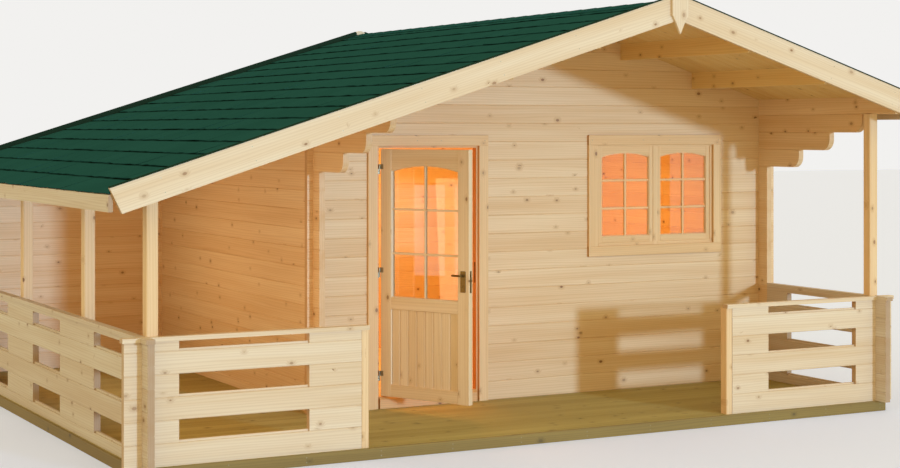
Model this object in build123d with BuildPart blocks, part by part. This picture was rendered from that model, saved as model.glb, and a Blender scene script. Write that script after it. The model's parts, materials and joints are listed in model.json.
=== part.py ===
"""A log cabin with a front veranda and a covered side store under one roof.

Frame: +X to the right, +Z up, the door side faces -Y. The origin is the
middle of the roof's outline, on the level ground under the bearers.
"""

import os
from math import cos, radians, sqrt, tan

from build123d import *

os.makedirs("parts", exist_ok=True)

# Logs: machined boards laid flat, halved over each other at the corners
log_height = 138.0
log_thickness = 44.0
log_tail = 110.0
store_side_tail = 45.0
groove_depth = 4.0
tongue_width = 16.0
tongue_height = 13.0

# Plan
cabin_width = 4000.0
cabin_depth = 3310.0
veranda_depth = 1400.0
store_width = 1727.0
overhang_front = 240.0
overhang_rear = 170.0
overhang_left = 271.0
overhang_right = 238.0

# Floor
bearer_width = 70.0
bearer_height = 45.0
bearer_count = 12
floor_thickness = 28.0
deck_lip = 10.0
edge_board_thickness = 18.0

# Roof
roof_slope = 17.5
plate_height = 2253.0
roof_board_thickness = 19.0
shingle_thickness = 8.0
shingle_overhang = 12.0
ridge_cap_width = 125.0
ridge_cap_thickness = 6.0
bargeboard_width = 166.0
bargeboard_thickness = 28.0
bargeboard_upstand = 61.0
bargeboard_foot_cut = 75.0
fascia_height = 100.0
fascia_thickness = 28.0
finial_width = 132.0
finial_thickness = 20.0
finial_drop = 272.0
finial_point = 66.0
purlin_width = 58.0
purlin_depth = 118.0
purlin_inner = 640.0
purlin_outer = 1320.0
eave_beam_width = 58.0
eave_beam_depth = 96.0

# Courses that the walls are divided at
courses_below_head = 14
courses_below_gable = 16
courses_rear_wall = 11
bracket_courses = 12.5
bracket_step = 368.0
bracket_reach = 512.0
bracket_round = 85.0
bracket_count = 3

# Railings
rail_height = 752.0
cap_thickness = 28.0
cap_overhang = 13.0
rail_strip = 31.0
post_size = 75.0
post_chamfer = 5.0
store_post_spacing = (1283.0, 1560.0)
end_post_width = 52.0
end_post_depth = 70.0
front_left_length = 1500.0
front_right_length = 1419.0
corner_block = 190.0
entrance_block = 360.0
entrance_block_right = 322.0
side_gap_lengths = (734.0, 697.0, 693.0)
side_block_lengths = (786.0, 710.0)
right_gap_length = 800.0

# Door
door_cut_left = 475.0
door_cut_width = 895.0
frame_width = 45.0
frame_depth = 54.0
threshold_height = 88.0
leaf_gap = 5.0
latch_gap = 7.0
leaf_thickness = 44.0
leaf_open_angle = 65.0
stile_width = 97.0
top_rail_width = 115.0
mid_rail_width = 86.0
mid_rail_height = 634.0
bottom_rail_width = 90.0
arch_rise = 40.0
glass_thickness = 4.0
panel_thickness = 20.0
casing_width = 78.0
casing_thickness = 20.0
casing_reveal = 16.0
hinge_radius = 6.0
hinge_length = 36.0
hinge_standoff = 8.0
hinge_plate = 3.0
hinge_play = 0.3
hinge_plate_width = 30.0
hinge_inset = 145.5
handle_height = 905.0
handle_plate_width = 44.0
handle_plate_length = 150.0
handle_plate_thickness = 4.0
lever_radius = 8.0
lever_reach = 45.0
lever_length = 110.0
lever_inset = 50.0
lever_above_plate_middle = 43.0

# Window
window_cut_width = 1136.0
window_from_right = 494.0
window_courses = 6
window_frame_width = 40.0
sash_stile = 34.0
sash_rail = 48.0
sash_thickness = 36.0
sash_arch_rise = 30.0

# Places worked out from the sizes above
slope = tan(radians(roof_slope))
upright = 1.0 / cos(radians(roof_slope))
deck_top = bearer_height + floor_thickness
roof_width = overhang_right + cabin_width + store_width + overhang_left
roof_length = overhang_front + veranda_depth + cabin_depth + overhang_rear
cabin_right = roof_width / 2 - overhang_right
cabin_left = cabin_right - cabin_width
store_left = cabin_left - store_width
ridge_x = (cabin_left + cabin_right) / 2
front_face = roof_length / 2 - overhang_rear - cabin_depth
rear_face = front_face + cabin_depth
rail_face = front_face - veranda_depth
roof_front = -roof_length / 2 + bargeboard_thickness
roof_rear = roof_length / 2 - bargeboard_thickness
ridge_underside = deck_top + plate_height + slope * cabin_width / 2
board_rise = roof_board_thickness * upright
half = log_thickness / 2
groove_side = groove_depth * sqrt(2)


def course(number):
    """The height of a joint between logs in the front and rear walls."""
    return deck_top + number * log_height


def underside(x):
    """The height of the roof boards' underside at a place across the roof."""
    return ridge_underside - slope * abs(x - ridge_x)


def joints(low, high, shift):
    """The joint heights between two levels; side walls are half a log up."""
    count = int((high - low) / log_height) + 3
    first = int((low - deck_top) / log_height) - 1
    levels = [course(first + step + shift) for step in range(count + 1)]
    return [level for level in levels if low - 0.5 < level < high + 0.5]


def laps(low, high, shift):
    """The joints whose half-laps reach between two levels."""
    return joints(low - log_height / 4, high + log_height / 4, shift)


def block(low, high, mode=Mode.ADD):
    """A square-cut timber between two corners, in the part being built."""
    size = [top - bottom for bottom, top in zip(low, high)]
    middle = [(top + bottom) / 2 for bottom, top in zip(low, high)]
    with Locations(tuple(middle)):
        Box(*size, mode=mode)


def groove_along_x(low, high, levels):
    """The V joint lines on both faces of logs that run along X."""
    middle = (low[0] + high[0]) / 2
    places = [(middle, face, level) for level in levels for face in (low[1], high[1])]
    with Locations(*places):
        Box(
            high[0] - low[0] + 2 * groove_side,
            groove_side,
            groove_side,
            rotation=(45, 0, 0),
            mode=Mode.SUBTRACT,
        )


def groove_along_y(low, high, levels):
    """The V joint lines on both faces of logs that run along Y."""
    middle = (low[1] + high[1]) / 2
    places = [(face, middle, level) for level in levels for face in (low[0], high[0])]
    with Locations(*places):
        Box(
            groove_side,
            high[1] - low[1] + 2 * groove_side,
            groove_side,
            rotation=(0, 45, 0),
            mode=Mode.SUBTRACT,
        )


def halve_over(places, levels):
    """The half-laps: each log gives way round its own joints at a crossing."""
    corners = [(x, y, level) for x, y in places for level in levels]
    with Locations(*corners):
        Box(log_thickness, log_thickness, log_height / 2, mode=Mode.SUBTRACT)


def save(part, name):
    """Name the finished piece and write it."""
    part.label = name
    export_step(part, f"parts/{name}.step")


# Crossing places of the log walls and railings
left_line = cabin_left + half
right_line = cabin_right - half
store_line = store_left + half
front_line = front_face + half
rear_line = rear_face - half
rail_line = rail_face + half
left_tip = cabin_left - store_side_tail
right_tip = cabin_right + log_tail
store_tip = store_left - log_tail

# Everything above the roof boards' underside, to cut the timbers below to the slope
with BuildPart() as roof_space:
    with BuildSketch(Plane.XZ.offset(-roof_rear)):
        with BuildLine():
            Polyline(
                (-roof_width, underside(-roof_width)),
                (ridge_x, ridge_underside),
                (roof_width, underside(roof_width)),
                (roof_width, 2 * ridge_underside),
                (-roof_width, 2 * ridge_underside),
                close=True,
            )
        make_face()
    extrude(amount=roof_length)

# Bearers on the ground, running front to back
deck_front = rail_face - deck_lip
deck_left = store_left - deck_lip
deck_right = cabin_right + deck_lip
bearer_spacing = (deck_right - deck_left - bearer_width) / (bearer_count - 1)
with BuildPart() as floor_bearers:
    for number in range(bearer_count):
        bearer_left = deck_left + number * bearer_spacing
        block(
            (bearer_left, deck_front, 0),
            (bearer_left + bearer_width, rear_face, bearer_height),
        )
save(floor_bearers.part, "floor_bearers")

# Floors: the cabin's own, the veranda's deck and the side store's deck
with BuildPart() as cabin_floor:
    block((cabin_left, front_face, bearer_height), (cabin_right, rear_face, deck_top))
save(cabin_floor.part, "cabin_floor")

with BuildPart() as veranda_deck:
    block((deck_left, deck_front, bearer_height), (deck_right, front_face, deck_top))
save(veranda_deck.part, "veranda_deck")

with BuildPart() as store_deck:
    block((deck_left, front_face, bearer_height), (cabin_left, rear_face, deck_top))
save(store_deck.part, "store_deck")

with BuildPart() as front_edge_board:
    block(
        (deck_left - edge_board_thickness, deck_front - edge_board_thickness, 0),
        (deck_right + edge_board_thickness, deck_front, deck_top),
    )
save(front_edge_board.part, "front_edge_board")

with BuildPart() as side_edge_boards:
    block(
        (deck_left - edge_board_thickness, deck_front, 0),
        (deck_left, rear_face, deck_top),
    )
    block(
        (deck_right, deck_front, 0),
        (deck_right + edge_board_thickness, front_face, deck_top),
    )
save(side_edge_boards.part, "side_edge_boards")

# Front wall: logs beside, between, under and over the door and the window
door_left = cabin_left + door_cut_left
door_right = door_left + door_cut_width
window_right = cabin_right - window_from_right
window_left = window_right - window_cut_width
head_level = course(courses_below_head)
sill_level = course(courses_below_head - window_courses)
gable_level = course(courses_below_gable)
front_crossings = [(left_line, front_line), (right_line, front_line)]
rear_crossings = [(left_line, rear_line), (right_line, rear_line)]


def front_logs(x_low, x_high, z_low, z_high):
    """A stretch of front wall between two places and two levels."""
    low = (x_low, front_face, z_low)
    high = (x_high, front_face + log_thickness, z_high)
    block(low, high)
    groove_along_x(low, high, joints(z_low, z_high, 0))
    halve_over(front_crossings, laps(z_low, z_high, 0))


with BuildPart() as front_wall_left:
    front_logs(left_tip, door_left, deck_top, head_level)
save(front_wall_left.part, "front_wall_left")

with BuildPart() as front_wall_middle:
    front_logs(door_right, window_left, deck_top, head_level)
save(front_wall_middle.part, "front_wall_middle")

with BuildPart() as front_wall_below_window:
    front_logs(window_left, window_right, deck_top, sill_level)
save(front_wall_below_window.part, "front_wall_below_window")

with BuildPart() as front_wall_right:
    front_logs(window_right, right_tip, deck_top, head_level)
save(front_wall_right.part, "front_wall_right")

with BuildPart() as front_wall_top:
    front_logs(left_tip, right_tip, head_level, gable_level)
save(front_wall_top.part, "front_wall_top")

# Purlins and the eave beam, cut to the slope along their tops
purlin_offsets = (-purlin_outer, -purlin_inner, purlin_inner, purlin_outer)
purlin_places = {
    "ridge_purlin": [ridge_x],
    "slope_purlins": [ridge_x + offset for offset in purlin_offsets],
}
eave_beam_x = store_left + log_thickness + post_size / 2
beam_foot = underside(eave_beam_x) - eave_beam_depth


def purlin(x, width, foot):
    """One timber under the roof boards, from bargeboard to bargeboard."""
    block((x - width / 2, roof_front, foot), (x + width / 2, roof_rear, ridge_underside))


for name, places in purlin_places.items():
    with BuildPart() as purlins:
        for place in places:
            purlin(place, purlin_width, underside(place) - purlin_depth)
        add(roof_space.part, mode=Mode.SUBTRACT)
    save(purlins.part, name)

with BuildPart() as eave_beam:
    purlin(eave_beam_x, eave_beam_width, beam_foot)
    add(roof_space.part, mode=Mode.SUBTRACT)
save(eave_beam.part, "eave_beam")


def purlin_pockets():
    """The pockets in a gable for the purlins that pass through it."""
    for places_across in purlin_places.values():
        for place_across in places_across:
            foot = underside(place_across) - purlin_depth
            block(
                (place_across - purlin_width / 2, roof_front, foot),
                (place_across + purlin_width / 2, roof_rear, 2 * ridge_underside),
                mode=Mode.SUBTRACT,
            )


# Gables: the logs above the plate level, cut to the roof's slope
with BuildPart() as front_gable:
    front_logs(left_tip, right_tip, gable_level, ridge_underside)
    add(roof_space.part, mode=Mode.SUBTRACT)
    purlin_pockets()
save(front_gable.part, "front_gable")

# Rear wall: its logs run on behind the side store as a screen
rear_level = course(courses_rear_wall)


def rear_logs(z_low, z_high):
    """A height of rear wall, from the store's tip to the right tip."""
    low = (store_tip, rear_face - log_thickness, z_low)
    high = (right_tip, rear_face, z_high)
    block(low, high)
    groove_along_x(low, high, joints(z_low, z_high, 0))
    halve_over(rear_crossings, laps(z_low, z_high, 0))


with BuildPart() as rear_wall:
    rear_logs(deck_top, rear_level)
save(rear_wall.part, "rear_wall")

with BuildPart() as rear_gable:
    rear_logs(rear_level, ridge_underside)
    add(roof_space.part, mode=Mode.SUBTRACT)
    purlin_pockets()
    block(
        (eave_beam_x - eave_beam_width / 2, roof_front, beam_foot),
        (eave_beam_x + eave_beam_width / 2, roof_rear, 2 * ridge_underside),
        mode=Mode.SUBTRACT,
    )
save(rear_gable.part, "rear_gable")

# Side walls, and their top logs that step forward as brackets over the veranda
bracket_level = course(bracket_courses)
step_fronts = [
    front_face - bracket_reach - bracket_step * number for number in range(bracket_count)
]
plate_level = course(bracket_courses + bracket_count)
top_level = underside(cabin_left + log_thickness)
side_rear = rear_face + log_tail


def side_crossings(line):
    """Where a side wall passes the front and the rear wall."""
    return [(line, front_line), (line, rear_line)]


side_lines = {"left_wall": left_line, "right_wall": right_line}
for name, line in side_lines.items():
    with BuildPart() as side_wall:
        low = (line - half, front_face - log_tail, deck_top)
        high = (line + half, side_rear, bracket_level)
        levels = joints(deck_top, bracket_level, 0.5)
        block(low, high)
        groove_along_y(low, high, levels)
        halve_over(side_crossings(line), laps(deck_top, bracket_level, 0.5))
    save(side_wall.part, name)

    with BuildPart() as top_logs:
        with BuildSketch(Plane.YZ.offset(line - half)) as bracket:
            for number, front in enumerate(step_fronts):
                foot = bracket_level + number * log_height
                with Locations(((front + side_rear) / 2, foot + log_height / 2)):
                    Rectangle(side_rear - front, log_height)
            tips = [
                (front, bracket_level + number * log_height)
                for number, front in enumerate(step_fronts)
            ]
            corners = [
                corner
                for corner in bracket.vertices()
                if any(abs(corner.X - y) + abs(corner.Y - z) < 0.1 for y, z in tips)
            ]
            fillet(corners, bracket_round)
            with Locations(((roof_front + side_rear) / 2, (plate_level + top_level) / 2)):
                Rectangle(side_rear - roof_front, top_level - plate_level)
        extrude(amount=log_thickness)
        low = (line - half, roof_front, bracket_level)
        high = (line + half, side_rear, top_level)
        levels = joints(bracket_level, plate_level, 0.5)
        groove_along_y(low, high, levels)
        halve_over(side_crossings(line), laps(bracket_level, top_level, 0.5))
        add(roof_space.part, mode=Mode.SUBTRACT)
    save(top_logs.part, f"{name}_top_logs")

# Posts: four along the store, inside its railing, and one over the right corner
rail_top = deck_top + rail_height
cap_top = rail_top + cap_thickness
post_left = store_left + log_thickness
first_post = rail_face + log_thickness
post_fronts = [first_post]
for spacing in store_post_spacing:
    post_fronts.append(post_fronts[-1] + spacing)
post_fronts.append(rear_face - log_thickness - post_size)
with BuildPart() as roof_posts:
    for post_front in post_fronts:
        block(
            (post_left, post_front, deck_top),
            (post_left + post_size, post_front + post_size, beam_foot),
        )
    block(
        (right_line - post_size / 2, first_post, cap_top),
        (right_line + post_size / 2, first_post + post_size, plate_level),
    )
    chamfer(roof_posts.edges().filter_by(Axis.Z), post_chamfer)
save(roof_posts.part, "roof_posts")

# Railings: whole logs with every second one left out between solid blocks
rail_crossings = [(store_line, rail_line), (right_line, rail_line)]


def open_courses(shift, strip):
    """The heights of the open courses, under a strip of log at the top."""
    starts = [start + shift for start in (1, 3, 5)]
    return [(course(start), min(course(start + 1), rail_top - strip)) for start in starts]


def rail_along_x(x_low, x_high, gap_low, gap_high):
    """A front railing panel with its open courses between two places."""
    low = (x_low, rail_face, deck_top)
    high = (x_high, rail_face + log_thickness, rail_top)
    block(low, high)
    groove_along_x(low, high, joints(deck_top + 1, rail_top - 1, 0))
    halve_over(rail_crossings, laps(deck_top, rail_top, 0))
    for bottom, top in open_courses(0, 0):
        block((gap_low, low[1], bottom + tongue_height), (gap_high, high[1], top), Mode.SUBTRACT)
        for side in (-1, 1):
            edge = rail_line + side * tongue_width / 2
            outer = rail_line + side * half
            block(
                (gap_low, min(edge, outer), bottom),
                (gap_high, max(edge, outer), bottom + tongue_height),
                Mode.SUBTRACT,
            )


def rail_along_y(line, y_low, y_high, gaps):
    """A side railing with its open courses between pairs of places."""
    low = (line - half, y_low, deck_top)
    high = (line + half, y_high, rail_top)
    block(low, high)
    groove_along_y(low, high, joints(deck_top + 1, rail_top - 1, 0.5))
    halve_over(rail_crossings, laps(deck_top, rail_top, 0.5))
    for gap_low, gap_high in gaps:
        for bottom, top in open_courses(-0.5, rail_strip):
            block((low[0], gap_low, bottom + tongue_height), (high[0], gap_high, top), Mode.SUBTRACT)
            for side in (-1, 1):
                edge = line + side * tongue_width / 2
                outer = line + side * half
                block(
                    (min(edge, outer), gap_low, bottom),
                    (max(edge, outer), gap_high, bottom + tongue_height),
                    Mode.SUBTRACT,
                )


entrance_left = store_left + front_left_length
entrance_right = cabin_right - front_right_length
boards_left = entrance_left - end_post_width
boards_right = entrance_right + end_post_width
with BuildPart() as front_railing_left:
    rail_along_x(
        store_tip,
        boards_left,
        store_left + log_thickness + corner_block,
        boards_left - entrance_block,
    )
save(front_railing_left.part, "front_railing_left")

with BuildPart() as front_railing_right:
    rail_along_x(
        boards_right,
        right_tip,
        boards_right + entrance_block_right,
        cabin_right - log_thickness - corner_block,
    )
save(front_railing_right.part, "front_railing_right")

rail_tip = rail_face - log_tail
first_gap = first_post + corner_block
side_gaps = []
gap_start = first_gap
for gap_length, block_length in zip(side_gap_lengths, side_block_lengths + (0,)):
    side_gaps.append((gap_start, gap_start + gap_length))
    gap_start += gap_length + block_length
with BuildPart() as store_railing:
    rail_along_y(store_line, rail_tip, rear_face - log_thickness, side_gaps)
save(store_railing.part, "store_railing")

with BuildPart() as right_railing:
    rail_along_y(
        right_line,
        rail_tip,
        front_face - log_tail,
        [(first_gap, first_gap + right_gap_length)],
    )
save(right_railing.part, "right_railing")

with BuildPart() as entrance_posts:
    for edge in (boards_left, entrance_right):
        block(
            (edge, rail_face, deck_top),
            (edge + end_post_width, rail_face + end_post_depth, rail_top),
        )
    chamfer(entrance_posts.edges().filter_by(Axis.Z), post_chamfer)
save(entrance_posts.part, "entrance_posts")

# Caps along the railings, flush inside and overhanging outside
cap_front = rail_face - cap_overhang
cap_back = rail_face + log_thickness
with BuildPart() as front_caps:
    block(
        (store_tip - cap_overhang, cap_front, rail_top),
        (entrance_left, cap_back, cap_top),
    )
    block(
        (entrance_right, cap_front, rail_top),
        (right_tip + cap_overhang, cap_back, cap_top),
    )
save(front_caps.part, "front_caps")

with BuildPart() as side_caps:
    block(
        (store_left - cap_overhang, cap_back, rail_top),
        (store_left + log_thickness, rear_face - log_thickness, cap_top),
    )
    block(
        (store_left - cap_overhang, rail_tip - cap_overhang, rail_top),
        (store_left + log_thickness, cap_front, cap_top),
    )
    block(
        (cabin_right - log_thickness, cap_back, rail_top),
        (cabin_right + cap_overhang, front_face - log_tail, cap_top),
    )
    block(
        (cabin_right - log_thickness, rail_tip - cap_overhang, rail_top),
        (cabin_right + cap_overhang, cap_front, cap_top),
    )
save(side_caps.part, "side_caps")

# Roof: boards on the purlins, shingles on the boards, then the trims
eave_left = -roof_width / 2
eave_right = roof_width / 2


def sheet_on_slope(x_low, x_high, lift, thickness):
    """A sheet on one slope, its lower face a lift above the roof's underside."""
    with BuildSketch(Plane.XZ.offset(-roof_rear)) as sheet_end:
        with BuildLine():
            Polyline(
                (x_low, underside(x_low) + lift),
                (x_high, underside(x_high) + lift),
                (x_high, underside(x_high) + lift + thickness),
                (x_low, underside(x_low) + lift + thickness),
                close=True,
            )
        make_face()
    extrude(sheet_end.sketch, amount=roof_rear - roof_front)


shingle_rise = shingle_thickness * upright
board_spans = {
    "left": (eave_left + fascia_thickness, ridge_x),
    "right": (ridge_x, eave_right - fascia_thickness),
}
for side, (span_low, span_high) in board_spans.items():
    with BuildPart() as roof_boards:
        sheet_on_slope(span_low, span_high, 0, board_rise)
    save(roof_boards.part, f"roof_boards_{side}")

shingle_spans = {
    "left": (eave_left - shingle_overhang, ridge_x),
    "right": (ridge_x, eave_right + shingle_overhang),
}
for side, (span_low, span_high) in shingle_spans.items():
    with BuildPart() as shingles:
        sheet_on_slope(span_low, span_high, board_rise, shingle_rise)
    save(shingles.part, f"shingles_{side}")

cap_rise = board_rise + shingle_rise
cap_left = ridge_x - ridge_cap_width
cap_right = ridge_x + ridge_cap_width
with BuildPart() as ridge_cap:
    with BuildSketch(Plane.XZ.offset(-roof_rear)):
        with BuildLine():
            Polyline(
                (cap_left, underside(cap_left) + cap_rise),
                (ridge_x, ridge_underside + cap_rise),
                (cap_right, underside(cap_right) + cap_rise),
                (cap_right, underside(cap_right) + cap_rise + ridge_cap_thickness),
                (ridge_x, ridge_underside + cap_rise + ridge_cap_thickness),
                (cap_left, underside(cap_left) + cap_rise + ridge_cap_thickness),
                close=True,
            )
        make_face()
    extrude(amount=roof_rear - roof_front)
save(ridge_cap.part, "ridge_cap")

# Eave fascias, their tops cut to the slope under the shingles
eaves = {"left": (eave_left, 1), "right": (eave_right, -1)}
with BuildPart() as eave_fascias:
    with BuildSketch(Plane.XZ.offset(-roof_rear)):
        for outer, inward in eaves.values():
            inner = outer + inward * fascia_thickness
            with BuildLine():
                Polyline(
                    (outer, underside(outer) + board_rise),
                    (inner, underside(inner) + board_rise),
                    (inner, underside(outer) + board_rise - fascia_height),
                    (outer, underside(outer) + board_rise - fascia_height),
                    close=True,
                )
            make_face()
    extrude(amount=roof_rear - roof_front)
save(eave_fascias.part, "eave_fascias")

# Bargeboards on both gable ends, meeting at a plumb cut under the ridge
barge_height = bargeboard_width * upright
gable_ends = (roof_front, roof_length / 2)
for side, (outer, inward) in eaves.items():
    foot_x = outer + inward * bargeboard_foot_cut
    with BuildPart() as bargeboards:
        for back_face in gable_ends:
            with BuildSketch(Plane.XZ.offset(-back_face)):
                with BuildLine():
                    Polyline(
                        (outer, underside(outer) + bargeboard_upstand),
                        (ridge_x, ridge_underside + bargeboard_upstand),
                        (ridge_x, ridge_underside + bargeboard_upstand - barge_height),
                        (foot_x, underside(foot_x) + bargeboard_upstand - barge_height),
                        close=True,
                    )
                make_face()
            extrude(amount=bargeboard_thickness)
    save(bargeboards.part, f"bargeboards_{side}")

# Finials: a pointed board over the joint at each end of the ridge
finial_top = ridge_underside + bargeboard_upstand
finial_shoulder = slope * finial_width / 2
with BuildPart() as finials:
    for back_face in (-roof_length / 2, roof_length / 2 + finial_thickness):
        with BuildSketch(Plane.XZ.offset(-back_face)):
            with BuildLine():
                Polyline(
                    (ridge_x, finial_top),
                    (ridge_x + finial_width / 2, finial_top - finial_shoulder),
                    (ridge_x + finial_width / 2, finial_top - finial_drop + finial_point),
                    (ridge_x, finial_top - finial_drop),
                    (ridge_x - finial_width / 2, finial_top - finial_drop + finial_point),
                    (ridge_x - finial_width / 2, finial_top - finial_shoulder),
                    close=True,
                )
            make_face()
        extrude(amount=finial_thickness)
save(finials.part, "finials")

# Door frame: jambs, head and threshold in the cut between the logs
casing_front = front_face - casing_thickness
frame_back = front_face + frame_depth
clear_left = door_left + frame_width
clear_right = door_right - frame_width
clear_top = head_level - frame_width
with BuildPart() as door_jambs:
    for jamb_left in (door_left, clear_right):
        block(
            (jamb_left, front_face, deck_top),
            (jamb_left + frame_width, frame_back, clear_top),
        )
save(door_jambs.part, "door_jambs")

with BuildPart() as door_head:
    block((door_left, front_face, clear_top), (door_right, frame_back, head_level))
save(door_head.part, "door_head")

with BuildPart() as door_threshold:
    with BuildSketch(Plane.YZ.offset(clear_left)):
        with BuildLine():
            Polyline(
                (casing_front, deck_top),
                (frame_back, deck_top),
                (frame_back, deck_top + threshold_height),
                (front_face, deck_top + threshold_height),
                (casing_front, deck_top + threshold_height - casing_thickness),
                close=True,
            )
        make_face()
    extrude(amount=clear_right - clear_left)
save(door_threshold.part, "door_threshold")

casing_inner_left = clear_left - casing_reveal
casing_inner_right = clear_right + casing_reveal
casing_inner_top = clear_top + casing_reveal
with BuildPart() as door_casing:
    block(
        (casing_inner_left - casing_width, casing_front, deck_top),
        (casing_inner_right + casing_width, front_face, casing_inner_top + casing_width),
    )
    block(
        (casing_inner_left, casing_front, deck_top),
        (casing_inner_right, front_face, casing_inner_top),
        Mode.SUBTRACT,
    )
save(door_casing.part, "door_casing")

# Door leaf: drawn closed, then turned about its hinge line to stand open
leaf_left = clear_left + leaf_gap
leaf_right = clear_right - latch_gap
leaf_bottom = deck_top + threshold_height + latch_gap
leaf_top = clear_top - leaf_gap
leaf_front = front_face
leaf_back = front_face + leaf_thickness
hinge_x = clear_left
hinge_y = front_face - hinge_standoff
glass_bottom = leaf_bottom + mid_rail_height + mid_rail_width
glass_crown = leaf_top - top_rail_width
light_left = leaf_left + stile_width
light_right = leaf_right - stile_width
hinge_axis = Axis((hinge_x, hinge_y, 0), (0, 0, -1))


def arched_light(left, right, bottom, crown, rise, face, thickness):
    """A pane with a low arched top, its outline in the plane of the back face."""
    with BuildSketch(Plane.XZ.offset(-face)) as light:
        with BuildLine():
            Polyline((left, crown - rise), (left, bottom), (right, bottom), (right, crown - rise))
            ThreePointArc((left, crown - rise), ((left + right) / 2, crown), (right, crown - rise))
        make_face()
    return extrude(light.sketch, amount=thickness, mode=Mode.PRIVATE)


def save_on_door(part, name):
    """Swing a closed-door piece open about the hinge line and write it."""
    save(part.rotate(hinge_axis, leaf_open_angle), name)


with BuildPart() as door_leaf:
    block((leaf_left, leaf_front, leaf_bottom), (leaf_right, leaf_back, leaf_top))
    block(
        (light_left, leaf_front, leaf_bottom + bottom_rail_width),
        (light_right, leaf_back, leaf_bottom + mid_rail_height),
        Mode.SUBTRACT,
    )
    add(
        arched_light(
            light_left, light_right, glass_bottom, glass_crown, arch_rise, leaf_back, leaf_thickness
        ),
        mode=Mode.SUBTRACT,
    )
save_on_door(door_leaf.part, "door_leaf")

leaf_line = (leaf_front + leaf_back) / 2
with BuildPart() as door_panel:
    block(
        (light_left, leaf_line - panel_thickness / 2, leaf_bottom + bottom_rail_width),
        (light_right, leaf_line + panel_thickness / 2, leaf_bottom + mid_rail_height),
    )
save_on_door(door_panel.part, "door_panel")

glass_back = leaf_line + glass_thickness / 2
with BuildPart() as door_glass:
    add(
        arched_light(
            light_left, light_right, glass_bottom, glass_crown, arch_rise, glass_back, glass_thickness
        )
    )
save_on_door(door_glass.part, "door_glass")

# Lever handle on a long plate, the same on both faces of the leaf
lever_x = leaf_right - lever_inset
lever_z = leaf_bottom + handle_height
with BuildPart() as door_handle:
    for face, outward in ((leaf_front, -1), (leaf_back, 1)):
        plate_y = face + outward * handle_plate_thickness / 2
        with Locations((lever_x, plate_y, lever_z - lever_above_plate_middle)):
            Box(handle_plate_width, handle_plate_thickness, handle_plate_length)
        stem_y = face + outward * lever_reach / 2
        with Locations(Location((lever_x, stem_y, lever_z), (90, 0, 0))):
            Cylinder(lever_radius, lever_reach)
        lever_y = face + outward * (lever_reach - lever_radius)
        lever_middle = lever_x - lever_length / 2 + lever_radius
        with Locations(Location((lever_middle, lever_y, lever_z), (0, 90, 0))):
            Cylinder(lever_radius, lever_length)
save_on_door(door_handle.part, "door_handle")

# Hinges: three barrels, the lower half on the frame and the upper on the leaf
hinge_levels = [
    leaf_bottom + hinge_inset,
    (leaf_bottom + leaf_top) / 2,
    leaf_top - hinge_inset,
]
with BuildPart() as frame_hinges:
    for level in hinge_levels:
        with Locations((hinge_x, hinge_y, level - hinge_length / 2)):
            Cylinder(hinge_radius, hinge_length)
        block(
            (hinge_x - casing_reveal + hinge_plate, hinge_y, level - hinge_length),
            (hinge_x, front_face, level),
        )
save(frame_hinges.part, "frame_hinges")

with BuildPart() as leaf_hinges:
    for level in hinge_levels:
        with Locations((hinge_x, hinge_y, level + hinge_play + hinge_length / 2)):
            Cylinder(hinge_radius, hinge_length)
        block(
            (hinge_x, leaf_front - hinge_plate, level + hinge_play),
            (hinge_x + hinge_plate_width, leaf_front, level + hinge_play + hinge_length),
        )
save_on_door(leaf_hinges.part, "leaf_hinges")

# Window: a frame with a mullion, two sashes with arched heads, and their glass
with BuildPart() as window_frame:
    block(
        (window_left, front_face, sill_level),
        (window_right, frame_back, head_level),
    )
    light_width = (window_cut_width - 3 * window_frame_width) / 2
    sash_lefts = [
        window_left + window_frame_width,
        window_left + 2 * window_frame_width + light_width,
    ]
    sash_bottom = sill_level + window_frame_width
    sash_top = head_level - window_frame_width
    for sash_left in sash_lefts:
        block(
            (sash_left, front_face, sash_bottom),
            (sash_left + light_width, frame_back, sash_top),
            Mode.SUBTRACT,
        )
save(window_frame.part, "window_frame")

pane_bottom = sash_bottom + sash_rail
pane_crown = sash_top - sash_rail
sash_back = front_line + sash_thickness / 2
pane_back = front_line + glass_thickness / 2


def window_pane(sash_left, face, thickness):
    """The arched opening in one sash, or the glass that fills it."""
    left = sash_left + sash_stile
    right = sash_left + light_width - sash_stile
    return arched_light(left, right, pane_bottom, pane_crown, sash_arch_rise, face, thickness)


with BuildPart() as window_sashes:
    for sash_left in sash_lefts:
        block(
            (sash_left, sash_back - sash_thickness, sash_bottom),
            (sash_left + light_width, sash_back, sash_top),
        )
        add(window_pane(sash_left, sash_back, sash_thickness), mode=Mode.SUBTRACT)
save(window_sashes.part, "window_sashes")

with BuildPart() as window_glass:
    for sash_left in sash_lefts:
        add(window_pane(sash_left, pane_back, glass_thickness))
save(window_glass.part, "window_glass")

window_inner_left = window_left + casing_reveal
window_inner_right = window_right - casing_reveal
window_inner_bottom = sill_level + casing_reveal
with BuildPart() as window_casing:
    block(
        (window_inner_left - casing_width, casing_front, window_inner_bottom - casing_width),
        (window_inner_right + casing_width, front_face, casing_inner_top + casing_width),
    )
    block(
        (window_inner_left, casing_front, window_inner_bottom),
        (window_inner_right, front_face, casing_inner_top),
        Mode.SUBTRACT,
    )
save(window_casing.part, "window_casing")
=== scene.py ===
import json
import math
import random

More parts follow.
